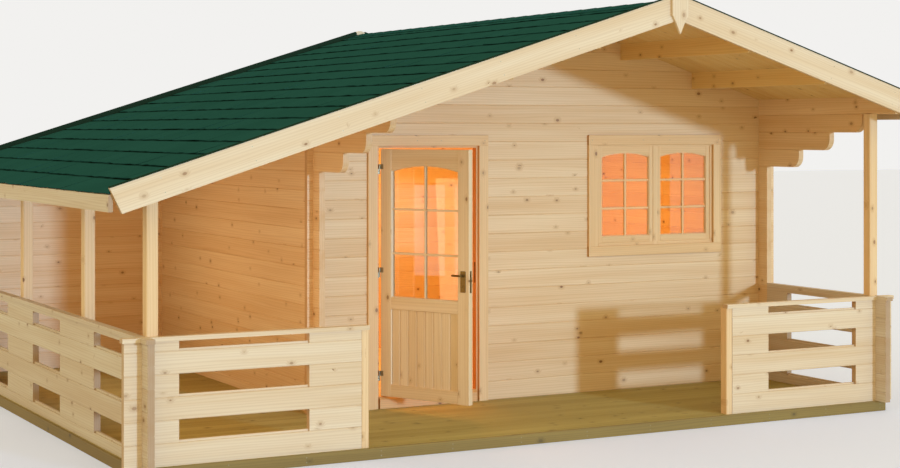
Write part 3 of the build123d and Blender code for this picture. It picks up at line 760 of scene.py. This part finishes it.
stack = new_stack()
strip_face = -barge_thickness - strip_proud
strip_top = barge_rise + strip_thickness
for side in ("left", "right"):
    corner, up_slope, across, lift, slope_length, roof_depth = slope_of(side)
    fold = [
        (strip_face, barge_rise), (0, barge_rise), (0, board_thickness),
        (strip_flap, board_thickness), (strip_flap, strip_top), (strip_face, strip_top),
    ]
    # The strip narrows to the board's own edge behind the finial, and stops short of the ridge
    finial_stop = slope_length - (finial_high.x - finial_low.x) / 2 / math.cos(pitch_angle)
    narrow = [(max(p, -barge_thickness), q) for p, q in fold]
    stretches = (
        (fold, -strip_setback, finial_stop), (narrow, finial_stop, slope_length - ridge_stop),
    )
    for section, start, stop in stretches:
        for outline in (section, [(roof_depth - p, q) for p, q in reversed(section)]):
            cut(stack, outline, corner + up_slope * start, across, lift, stop - start)
joined(stack, "verge_strips", shade_line_felt, "green_felt_shingle")

# Finials: a planed spruce board over the joint of the bargeboards on each gable, sawn to a
# spear point with hollow shoulders.
finial_thickness = 0.020
# Shares of half the width, and heights over the tip
spear = [(0.0, 0.0), (0.55, 0.080), (0.66, 0.088), (0.74, 0.102), (0.88, 0.118), (1.0, 0.126)]
finial_half = (finial_high.x - finial_low.x) / 2
finial_shoulder = finial_high.z - finial_half * math.tan(pitch_angle)
outline = [(finial_half * share, finial_low.z + height) for share, height in spear]
outline += [(finial_half, finial_shoulder), (0, finial_high.z), (-finial_half, finial_shoulder)]
outline += [(-finial_half * share, finial_low.z + height) for share, height in spear[:0:-1]]
stack = new_stack()
for rear in (finial_low.y + finial_thickness, finial_high.y):
    cut(stack, outline, Vector((ridge_x, rear, 0)), right, up, finial_thickness, grain=1)
joined(stack, "finials_sawn", planed_board, "spruce", "finials")

# Door and window casings: planed and stained spruce boards nailed over the joint between the
# frame and the logs, the head board lying over the two sides.
casing_width = 0.078
casing_ease = 0.002
joinery = {"pale": "#f0cb97", "warm": "#e0b175", "dark": "#bb864b", "knot": "#80512a"}
joinery_board = timber("stained_spruce_joinery", **joinery, roughness=0.5, read="cut")


def eased(width, thickness, ease=casing_ease):
    """The outline of a board with its four long edges planed off."""
    return board_outline(width, thickness, ease, ease)


casing_nail_inset = 0.03
casing_nail_share = 0.1


def case(node_name, has_foot):
    """Casing boards and their nails over the box of a casing in the frame."""
    low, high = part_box(node_name)
    outline = eased(casing_width, high.y - low.y)
    foot = low.z + (casing_width if has_foot else 0.0)
    stack = new_stack()
    for x in (low.x, high.x - casing_width):
        cut(stack, outline, Vector((x, low.y, foot)), right, back, high.z - casing_width - foot)
    for z in [high.z - casing_width] + ([low.z] if has_foot else []):
        cut(stack, outline, Vector((high.x, low.y, z)), up, back, high.x - low.x)
    joined(stack, node_name + "_boards", joinery_board, "spruce", node_name)
    heads = new_stack()
    middle = (low.x + high.x) / 2
    apart = (high.x - low.x) * casing_nail_share
    for x in (middle - apart, middle + apart, low.x + casing_nail_inset,
              high.x - casing_nail_inset):
        drive(heads, Vector((x, low.y, high.z - casing_width / 2)), -back, nail_radius)
    joined(heads, node_name + "_nails", zinc, "zinc_steel")


case("door_casing", has_foot=False)
case("window_casing", has_foot=True)

# Door frame: two jambs, a head and a threshold of planed and stained spruce. Their palette is
# darker and richer than the casings', painted to stand for the shade they lie in under the roof.
# Darker palette: painted shade on the door frame
shaded_frame_spruce = {"pale": "#e9b578", "warm": "#d49a57", "dark": "#a87238", "knot": "#70431f"}
finish(timber("stained_spruce_door_jamb", **shaded_frame_spruce, roughness=0.5, read=upright),
       "door_jambs")
finish(timber("stained_spruce_door_rail", **shaded_frame_spruce, roughness=0.5, read=sideways),
       "door_head", "door_threshold")

# Door leaf: planed and stained spruce stiles and rails round a light with an arched head.
# Bars and beads hold the glass, in six panes. The leaf stands open about its hinge line.
leaf_open_angle = math.radians(65)
leaf_gap = 0.005
latch_gap = 0.007
frame_width = 0.045
leaf_thickness = 0.044
stile_width = 0.097
top_rail_width = 0.115
mid_rail_width = 0.086
mid_rail_height = 0.634
bottom_rail_width = 0.090
door_arch = 0.040
glass_thickness = 0.004
bar_section = (0.015, 0.008)
bead_section = (0.006, 0.010)
joint_ease = 0.0015
arch_steps = 16
door_wood = {"pale": "#f2dcc0", "warm": "#e2c197", "dark": "#c09766", "knot": "#87592f"}
door_board = timber("stained_spruce_door_board", **door_wood, roughness=0.5, read="cut")

hinge = Vector(frame["joints"][0]["pos_m"])
door_across = Vector((math.cos(leaf_open_angle), -math.sin(leaf_open_angle), 0))
door_back = Vector((math.sin(leaf_open_angle), math.cos(leaf_open_angle), 0))
jamb_low, jamb_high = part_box("door_jambs")
leaf_left = jamb_low.x + frame_width + leaf_gap
leaf_right = jamb_high.x - frame_width - latch_gap
leaf_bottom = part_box("door_threshold")[1].z + latch_gap
leaf_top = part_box("door_head")[0].z - leaf_gap
leaf_front = jamb_low.y
leaf_back = leaf_front + leaf_thickness
leaf_middle = leaf_front + leaf_thickness / 2


def on_door(x, y, z):
    """Where a place on the closed door lies, with the door as it stands open."""
    swung = door_across * (x - hinge.x) + door_back * (y - hinge.y)
    return Vector((hinge.x, hinge.y, z)) + swung


def on_wall(x, y, z):
    """A place on the fixed window, called in the same way as one on the door."""
    return Vector((x, y, z))


def arch(left, right_end, crown, rise, drop=0.0):
    """Points along a low arch from left to right, a drop inside its line."""
    half = (right_end - left) / 2
    radius = (half ** 2 + rise ** 2) / (2 * rise)
    sweep = math.asin(half / radius)
    points = []
    for step in range(arch_steps + 1):
        angle = sweep * (2 * step / arch_steps - 1)
        points.append((
            half + (radius - drop) * math.sin(angle),
            crown - radius + (radius - drop) * math.cos(angle),
        ))
    return points


def lay_rail(stack, setting, span, levels, faces):
    """A board from left to right between two levels and two faces.

    A setting is how places on the piece are found, and its directions across and inward.
    """
    place, _, inward = setting
    outline = eased(levels[1] - levels[0], faces[1] - faces[0], joint_ease)
    cut(stack, outline, place(span[1], faces[0], levels[0]), up, inward, span[1] - span[0])


def arched_frame(stack, setting, light, outer, faces):
    """Two stiles and the arched head between them. light is left, right, bottom, crown, rise."""
    place, across, inward = setting
    left, right_end, bottom, crown, rise = light
    outer_left, outer_right, outer_bottom, outer_top = outer
    front, rear = faces
    for edge, width in ((outer_left, left - outer_left), (right_end, outer_right - right_end)):
        cut(stack, eased(width, rear - front, joint_ease), place(edge, front, outer_bottom),
            across, inward, outer_top - outer_bottom)
    head = arch(left, right_end, crown, rise) + [(right_end - left, outer_top), (0, outer_top)]
    cut(stack, head, place(left, rear - joint_ease, 0), across, up,
        rear - front - 2 * joint_ease, grain=0)


bead_slope = 0.45


def glaze(stack, setting, light, pane, rows):
    """Bars and beads on both faces of the glass in a light, for two columns of panes."""
    place, across, inward = setting
    left, right_end, bottom, crown, rise = light
    bar_width, bar_depth = bar_section
    bead_width, bead_depth = bead_section
    bar = eased(bar_width, bar_depth, joint_ease)
    middle = (left + right_end - bar_width) / 2
    for side in (-1, 1):
        face = pane + side * glass_thickness / 2
        bar_front = face - bar_depth if side < 0 else face
        cut(stack, bar, place(middle, bar_front, bottom), across, inward, crown - bottom)
        for number in range(1, rows):
            z = bottom + (crown - bottom) * number / rows - bar_width / 2
            for bar_end in (middle, right_end):
                cut(stack, bar, place(bar_end, bar_front, z), up, inward, middle - left)
        # The bead's outer edge slopes back to the glass
        bead_front = face - bead_depth if side < 0 else face
        bead = [(0, 0), (bead_width, 0), (bead_width, bead_depth), (0, bead_depth)]
        bead[1 if side < 0 else 2] = (bead_width * bead_slope, 0 if side < 0 else bead_depth)
        mirrored = [(bead_width - p, q) for p, q in reversed(bead)]
        for outline, edge in ((bead, left), (mirrored, right_end - bead_width)):
            cut(stack, outline, place(edge, bead_front, bottom), across, inward,
                crown - rise - bottom)
        cut(stack, bead, place(right_end, bead_front, bottom), up, inward, right_end - left)
        curve = arch(left, right_end, crown, rise, bead_width)
        curve += arch(left, right_end, crown, rise)[::-1]
        cut(stack, curve, place(left, bead_front + bead_depth, 0), across, up, bead_depth, grain=0)


light_left = leaf_left + stile_width
light_right = leaf_right - stile_width
mid_rail_bottom = leaf_bottom + mid_rail_height
mid_rail_top = mid_rail_bottom + mid_rail_width
panel_bottom = leaf_bottom + bottom_rail_width
door_light = (light_left, light_right, mid_rail_top, leaf_top - top_rail_width, door_arch)
on_leaf = (on_door, door_across, door_back)
leaf_faces = (leaf_front, leaf_back)
leaf_outer = (leaf_left, leaf_right, leaf_bottom, leaf_top)
stack = new_stack()
arched_frame(stack, on_leaf, door_light, leaf_outer, leaf_faces)
for levels in ((leaf_bottom, panel_bottom), (mid_rail_bottom, mid_rail_top)):
    lay_rail(stack, on_leaf, (light_left, light_right), levels, leaf_faces)
glaze(stack, on_leaf, door_light, leaf_middle, rows=3)
joined(stack, "door_leaf_joinery", door_board, "spruce", "door_leaf", body="door")

# Door panel: upright tongued and grooved spruce boards, let into the stiles and rails. Each
# joint is planed to a V on both faces.
panel_thickness = 0.020
panel_boards = 8
panel_vee = 0.005
panel_joint = 0.001
cover = (light_right - light_left) / panel_boards
outline = eased(cover - panel_joint, panel_thickness, panel_vee)
stack = new_stack()
for number in range(panel_boards):
    start = on_door(light_left + number * cover, leaf_middle - panel_thickness / 2, panel_bottom)
    cut(stack, outline, start, door_across, door_back, mid_rail_bottom - panel_bottom)
joined(stack, "door_panel_boards", door_board, "spruce", "door_panel", body="door")

# Glass: clear float glass. It lets nearly all the light through and mirrors the sky at a
# slant, so the room shows in it.
clear_glass = bpy.data.materials.new("clear_float_glass")
clear_glass.use_nodes = True
clear_glass.node_tree.nodes.clear()
glass_through = add(clear_glass, "BsdfTransparent", {"Color": linear("#f3f7f4")})
glass_mirror = add(clear_glass, "BsdfAnisotropic", {"Color": linear("#ffffff"), "Roughness": 0.02})
glass_share = add(clear_glass, "Fresnel", {"IOR": 1.5})
glass_mix = add(clear_glass, "MixShader", {"Fac": glass_share, 1: glass_through, 2: glass_mirror})
add(clear_glass, "OutputMaterial", {"Surface": glass_mix})


def lay_glass(stack, setting, light, pane):
    """One sheet of glass cut to the arch of its light."""
    place, across, _ = setting
    left, right_end, bottom, crown, rise = light
    outline = [(0, bottom), (right_end - left, bottom)] + arch(left, right_end, crown, rise)[::-1]
    cut(stack, outline, place(left, pane + glass_thickness / 2, 0), across, up, glass_thickness)


stack = new_stack()
lay_glass(stack, on_leaf, door_light, leaf_middle)
joined(stack, "door_pane", clear_glass, "glass", "door_glass", body="door")

# Door furniture: aged brass. The plates have gone brown in the low places, and the lever is
# polished by hands.
plate_width = 0.044
plate_length = 0.150
plate_thickness = 0.004
plate_corner = 0.007
lever_inset = 0.050
lever_height = 0.905
lever_over_plate_middle = 0.043
lever_reach = 0.037
lever_length = 0.078
lever_bend = 0.014
bend_steps = 6
tube_sides = 16
key_under_lever = 0.072
key_radius = 0.004
key_slot = 0.0022
key_drop = 0.013
forend_size = (0.020, 0.155, 0.0015)
forend_proud = 0.0005
bolt_size = (0.008, 0.014, 0.004)

lock_screw_radius = 0.0035
plate_screw_share, forend_screw_share = 0.43, 0.44
# The rose's and the lever's radii: how far out of the plate, or what share of the length
rose = [(0.0, 0.0125), (0.004, 0.0125), (0.006, 0.010)]
neck_radius, bend_radius = 0.0075, 0.0065
neck_stop = 0.004
grip = [(0.35, 0.0068), (0.6, 0.0078), (0.85, 0.0076), (0.96, 0.0062), (1.0, 0.003)]
grip_bow = 0.003

# The tarnish lies in patches of about 9 mm
brass = patchy("aged_brass", patch=0.009, first="#92773f", second="#4b3b22", relief=0.1,
               depth=0.0002, roughness=0.42, metallic=1.0)


def rounded(width, height, radius):
    """A rectangle's outline about its middle, with round corners."""
    points = []
    for corner, (p, q) in enumerate(((1, -1), (1, 1), (-1, 1), (-1, -1))):
        for step in range(bend_steps + 1):
            angle = math.radians(90 * (corner - 1 + step / bend_steps))
            points.append((
                p * (width / 2 - radius) + radius * math.cos(angle),
                q * (height / 2 - radius) + radius * math.sin(angle),
            ))
    return points


def tube(stack, path, radii):
    """A round bar along a level path, with a radius at each place and closed ends."""
    rings = []
    for number, (place, radius) in enumerate(zip(path, radii)):
        heading = path[min(number + 1, len(path) - 1)] - path[max(number - 1, 0)]
        rings.append(circle(place, up.cross(heading).normalized(), up, radius, tube_sides))
    skin(stack, rings)


def drive_pair(stack, place_at, middle, length, share, facing):
    """Two screws in a plate, one near each end of its length."""
    for level in (middle - share * length, middle + share * length):
        drive(stack, place_at(level), facing, lock_screw_radius)


lever_x = leaf_right - lever_inset
lever_z = leaf_bottom + lever_height
plate_z = lever_z - lever_over_plate_middle
key_z = lever_z - key_under_lever - plate_z
# The keyhole's right half runs up from its foot and round its eye to the crown
keyhole = [(0.0, key_z - key_drop), (key_slot, key_z - key_drop)]
eye_start, eye_crown = -60, 90
for step in range(bend_steps + 1):
    angle = math.radians(eye_start + (eye_crown - eye_start) * step / bend_steps)
    keyhole.append((key_radius * math.cos(angle), key_z + key_radius * math.sin(angle)))
# The plate is drawn as two halves that meet at the keyhole
whole = rounded(plate_width, plate_length, plate_corner)
right_half = [(0.0, -plate_length / 2)] + whole[:len(whole) // 2] + [(0.0, plate_length / 2)]
right_half += keyhole[::-1]
left_half = [(-p, q) for p, q in reversed(right_half)]
case_thickness = plate_thickness / 4
lever_path = [(0.0, plate_thickness), (0.0, lever_reach - lever_bend - neck_stop)]
lever_radii = [neck_radius, bend_radius]
for step in range(bend_steps + 1):
    angle = math.radians(90 * step / bend_steps)
    lever_path.append((-lever_bend * (1 - math.cos(angle)),
                       lever_reach - lever_bend * (1 - math.sin(angle))))
    lever_radii.append(bend_radius)
for share, radius in grip:
    lever_path.append((-lever_length * share, lever_reach - grip_bow * share ** 2))
    lever_radii.append(radius)
stack = new_stack()
for outward, face in ((-1, leaf_front), (1, leaf_back)):
    plate_rear = face if outward < 0 else face + plate_thickness
    for half in (right_half, left_half):
        cut(stack, half, on_door(lever_x, plate_rear, plate_z), door_across, up, plate_thickness)
    # The lock's case shows dark through the keyhole
    case_rear = face if outward < 0 else face + case_thickness
    cut(stack, rounded(3 * key_radius, 6 * key_radius, key_radius),
        on_door(lever_x, case_rear, plate_z + key_z - key_radius), door_across, up,
        case_thickness)
    plate_face = face + outward * plate_thickness
    drive_pair(stack, lambda level: on_door(lever_x, plate_face, level), plate_z, plate_length,
               plate_screw_share, door_back * outward)
    tube(stack, [on_door(lever_x, plate_face + outward * far, lever_z) for far, _ in rose],
         [radius for _, radius in rose])
    tube(stack, [on_door(lever_x + x, face + outward * y, lever_z) for x, y in lever_path],
         lever_radii)
# The forend closes the lock in the leaf's free edge, and the bolt stands out of it
forend_width, forend_length, forend_thickness = forend_size
forend = rounded(forend_width, forend_length, forend_width / 4)
forend_x = leaf_right + forend_proud
cut(stack, forend, on_door(forend_x - forend_thickness, leaf_middle, plate_z), door_back, up,
    forend_thickness)
bolt_width, bolt_height, bolt_reach = bolt_size
cut(stack, rounded(bolt_width, bolt_height, bolt_width / 6),
    on_door(forend_x, leaf_middle, lever_z), door_back, up, bolt_reach)
drive_pair(stack, lambda level: on_door(forend_x, leaf_middle, level), plate_z, forend_length,
           forend_screw_share, door_across)
joined(stack, "door_furniture", brass, "aged_brass", "door_handle", body="door", smooth=True)

# Strike plate: the same aged brass, let into the jamb where the bolt comes and held by two
# screws.
stack = new_stack()
strike_x = jamb_high.x - frame_width - forend_proud
cut(stack, forend, Vector((strike_x + forend_thickness, leaf_middle, plate_z)), -back, up,
    forend_thickness)
drive_pair(stack, lambda level: Vector((strike_x, leaf_middle, level)), plate_z, forend_length,
           forend_screw_share, -right)
joined(stack, "door_strike", brass, "aged_brass")

# Hinges: zinc-plated steel barrels on pins that are screwed into the frame and the leaf.
# The frame's shapes are used as they are.
finish(zinc, "frame_hinges", "leaf_hinges")

# Window frame: planed and stained spruce stiles, head, sill and mullion, halved together
# and set in the opening of the logs.
member_width = 0.040
window_low, window_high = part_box("window_frame")
light_width = (window_high.x - window_low.x - 3 * member_width) / 2
member = eased(member_width, window_high.y - window_low.y, joint_ease)
stack = new_stack()
for number in range(3):
    x = window_low.x + number * (member_width + light_width)
    cut(stack, member, Vector((x, window_low.y, window_low.z)), right, back,
        window_high.z - window_low.z)
for number in range(2):
    x = window_low.x + member_width + number * (member_width + light_width)
    for z in (window_low.z, window_high.z - member_width):
        cut(stack, member, Vector((x + light_width, window_low.y, z)), up, back, light_width)
joined(stack, "window_frame_members", joinery_board, "spruce", "window_frame")

# Window sashes: two planed and stained spruce sashes with arched heads, hung in the frame.
# Bars and beads hold the glass, in six panes each.
sash_stile = 0.034
sash_rail = 0.048
sash_arch = 0.030
sash_low, sash_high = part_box("window_sashes")
sash_middle = (sash_low.y + sash_high.y) / 2
in_window = (on_wall, right, back)
sash_faces = (sash_low.y, sash_high.y)
stack = new_stack()
panes = new_stack()
for number in range(2):
    sash_left = sash_low.x + number * (member_width + light_width)
    sash_right = sash_left + light_width
    sash_light = (sash_left + sash_stile, sash_right - sash_stile, sash_low.z + sash_rail,
                  sash_high.z - sash_rail, sash_arch)
    sash_outer = (sash_left, sash_right, sash_low.z, sash_high.z)
    arched_frame(stack, in_window, sash_light, sash_outer, sash_faces)
    lay_rail(stack, in_window, sash_light[:2], (sash_low.z, sash_light[2]), sash_faces)
    glaze(stack, in_window, sash_light, sash_middle, rows=3)
    lay_glass(panes, in_window, sash_light, sash_middle)
joined(stack, "window_sash_joinery", joinery_board, "spruce", "window_sashes")
joined(panes, "window_panes", clear_glass, "glass", "window_glass")

# Ground: a plain pale studio floor, not part of the cabin. What the camera sees of it is
# lifted to the level of the pale sky behind, and it keeps the cabin's shadow.
floor_side = 120
floor_drop = 0.001
floor_lift = 0.30


def seen_share(material):
    """1 where a camera, a mirror or a pane looks, and 0 where light only bounces."""
    path = add(material, "LightPath", {}).outputs
    seen = path["Is Camera Ray"]
    for ray in ("Is Glossy Ray", "Is Transmission Ray"):
        seen = add(material, "Math", {0: seen, 1: path[ray]}, operation="MAXIMUM")
    return seen


bpy.ops.mesh.primitive_plane_add(size=floor_side, location=(0, 0, -floor_drop))
floor = bpy.context.object
floor.name = "studio_floor"
floor_paint = bpy.data.materials.new("studio_floor_paint")
floor_paint.use_nodes = True
floor_paint.node_tree.nodes.clear()
floor_seen = seen_share(floor_paint)
floor_colour = add(
    floor_paint, "Mix", {"Factor": floor_seen, "A": "#dadde3", "B": "#bac2f0"}, data_type="RGBA"
)
floor_shader = add(floor_paint, "BsdfPrincipled", {"Base Color": floor_colour, "Roughness": 0.9})
glow_strength = add(floor_paint, "Math", {0: floor_seen, 1: floor_lift}, operation="MULTIPLY")
floor_glow = add(floor_paint, "Emission", {"Color": "#ffffff", "Strength": glow_strength})
lifted = add(floor_paint, "AddShader", {0: floor_shader, 1: floor_glow})
add(floor_paint, "OutputMaterial", {"Surface": lifted})
floor.data.materials.append(floor_paint)

# Light: a low key light a little to the right, a very broad one from the left, a warm sky
# all round, and warm lamps in the cabin, in the side store and in front of it.


def shine(name, aside, height, energy, spread, colour):
    """A far lamp, at angles to the right of the front and above the ground, in degrees."""
    light = bpy.data.lights.new(name, "SUN")
    light.energy = energy
    light.angle = math.radians(spread)
    light.color = colour
    lamp = bpy.data.objects.new(name, light)
    side, rise = math.radians(aside), math.radians(height)
    toward = Vector((math.sin(side) * math.cos(rise), -math.cos(side) * math.cos(rise),
                     math.sin(rise)))
    lamp.rotation_euler = toward.to_track_quat("Z", "Y").to_euler()
    bpy.context.scene.collection.objects.link(lamp)


shine("key", aside=15, height=5.5, energy=1.84, spread=3.5, colour=(0.44, 0.692, 1.0))
shine("fill", aside=-62, height=6, energy=0.35, spread=90, colour=(1.0, 0.82, 0.6))


def hang_lamp(name, place, size, energy, colour, lean=0.0):
    """A square soft lamp that shines down from under the roof, or leans to the right."""
    light = bpy.data.lights.new(name, "AREA")
    light.energy = energy
    light.size = size
    light.color = colour
    lamp = bpy.data.objects.new(name, light)
    lamp.location = place
    lamp.rotation_euler = (0.0, -math.radians(lean), 0.0)
    lamp.visible_camera = False
    bpy.context.scene.collection.objects.link(lamp)


room_low, room_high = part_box("cabin_floor")
room_middle = (room_low + room_high) / 2
lamp_height = 2.3
store_lamp_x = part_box("store_deck")[0].x + 0.3
store_lamp_height = 1.1
porch_y = -1.5
store_lean = 80
room_glow = (1.0, 0.48, 0.10)
store_glow = (1.0, 0.66, 0.36)
hang_lamp("inside", (room_middle.x, room_middle.y, lamp_height), size=1.8, energy=84,
          colour=room_glow)
hang_lamp("in_store", (store_lamp_x, room_middle.y, store_lamp_height), size=1.2, energy=8,
          colour=store_glow, lean=store_lean)
hang_lamp("in_porch", (store_lamp_x, porch_y, store_lamp_height), size=1.2, energy=9,
          colour=store_glow, lean=store_lean)

world = bpy.data.worlds.new("pale_sky")
world.use_nodes = True
world.node_tree.nodes.clear()
bpy.context.scene.world = world
sky = add(world, "Background", {"Color": (1.0, 0.863, 0.432, 1.0), "Strength": 0.95})
seen_sky = add(world, "Background", {"Color": "#f2f1ef", "Strength": 1.0})
shown_sky = add(world, "MixShader", {"Fac": seen_share(world), 1: sky, 2: seen_sky})
add(world, "OutputWorld", {"Surface": shown_sky})

# Camera: level, about 2.1 m over the ground, and shifted down so that upright lines stay
# upright.
picture_width = 900
focal_pixels = 1783
horizon_above_middle = 104
camera = bpy.data.cameras.new("camera")
camera.sensor_width = 36.0
camera.lens = camera.sensor_width * focal_pixels / picture_width
camera.shift_y = -horizon_above_middle / picture_width
camera.clip_end = 300
camera_place = (-6.232, -12.560, 2.093)
view_heading = Vector((0.471, 0.882, 0.0))
eye = bpy.data.objects.new("camera", camera)
eye.location = camera_place
eye.rotation_euler = (math.pi / 2, 0.0, -math.atan2(view_heading.x, view_heading.y))
bpy.context.scene.collection.objects.link(eye)
bpy.context.scene.camera = eye
bpy.context.scene.view_settings.view_transform = "Standard"
